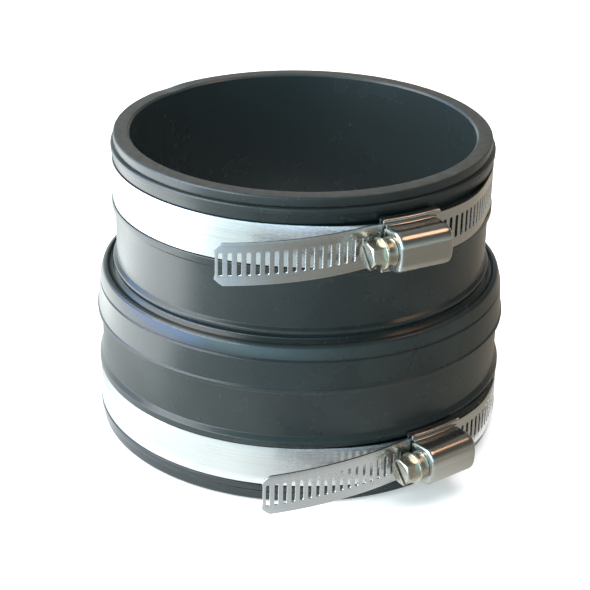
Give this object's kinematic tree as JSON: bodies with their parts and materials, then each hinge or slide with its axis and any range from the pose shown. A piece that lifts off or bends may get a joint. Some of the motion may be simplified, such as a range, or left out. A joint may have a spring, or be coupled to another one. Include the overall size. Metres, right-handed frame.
{
  "type": "flexible pipe coupling",
  "caption": "Flexible rubber sleeve that joins two pipe ends of slightly different diameter, tightened round each by a worm-drive band clamp.",
  "frame": {"origin": "on the sleeve's axis, in the plane of its lower, larger end face", "axes": "+Z along the sleeve's axis towards its upper, smaller end; the clamps' screw housings stand on the -Y side, turned towards +X"},
  "size_m": [0.1392, 0.1562, 0.102],
  "materials": {
    "rubber": "satin moulded elastomer",
    "band_steel": "bright rolled stainless strip",
    "saddle_steel": "bright stamped stainless",
    "housing_steel": "bright stamped stainless",
    "screw_zinc": "zinc plated, faintly yellow"
  },
  "bodies": {
    "sleeve": {"sleeve": "rubber"},
    "upper_clamp": {"upper_band_loop": "band_steel", "upper_saddle": "saddle_steel", "upper_housing": "housing_steel"},
    "upper_screw": {"upper_screw": "screw_zinc"},
    "upper_band": {"upper_band_tail": "band_steel"},
    "lower_clamp": {"lower_band_loop": "band_steel", "lower_saddle": "saddle_steel", "lower_housing": "housing_steel"},
    "lower_screw": {"lower_screw": "screw_zinc"},
    "lower_band": {"lower_band_tail": "band_steel"}
  },
  "joints": [
    {"name": "upper_clamp_turn", "type": "hinge", "parent": "sleeve", "child": "upper_clamp", "pos_m": [0, 0, 0.0865], "axis": [0, 0, 1], "continuous": true},
    {"name": "upper_screw_turn", "type": "hinge", "parent": "upper_clamp", "child": "upper_screw", "pos_m": [0.03505, -0.06071, 0.0865], "axis": [0.866, 0.5, 0], "range_deg": [0, 1080]},
    {"name": "upper_band_draw", "type": "hinge", "parent": "upper_clamp", "child": "upper_band", "pos_m": [0, 0, 0.0865], "axis": [0, 0, -1], "range_deg": [0, 7.25]},
    {"name": "lower_clamp_turn", "type": "hinge", "parent": "sleeve", "child": "lower_clamp", "pos_m": [0, 0, 0.0131], "axis": [0, 0, 1], "continuous": true},
    {"name": "lower_screw_turn", "type": "hinge", "parent": "lower_clamp", "child": "lower_screw", "pos_m": [0.04679, -0.05989, 0.0131], "axis": [0.788, 0.6157, 0], "range_deg": [0, 1080]},
    {"name": "lower_band_draw", "type": "hinge", "parent": "lower_clamp", "child": "lower_band", "pos_m": [0, 0, 0.0131], "axis": [0, 0, -1], "range_deg": [0, 6.65]}
  ],
  "couplings": [
    {"joint": "upper_band_draw", "follows": "upper_screw_turn", "ratio": 0.0066923},
    {"joint": "lower_band_draw", "follows": "lower_screw_turn", "ratio": 0.0061385}
  ]
}
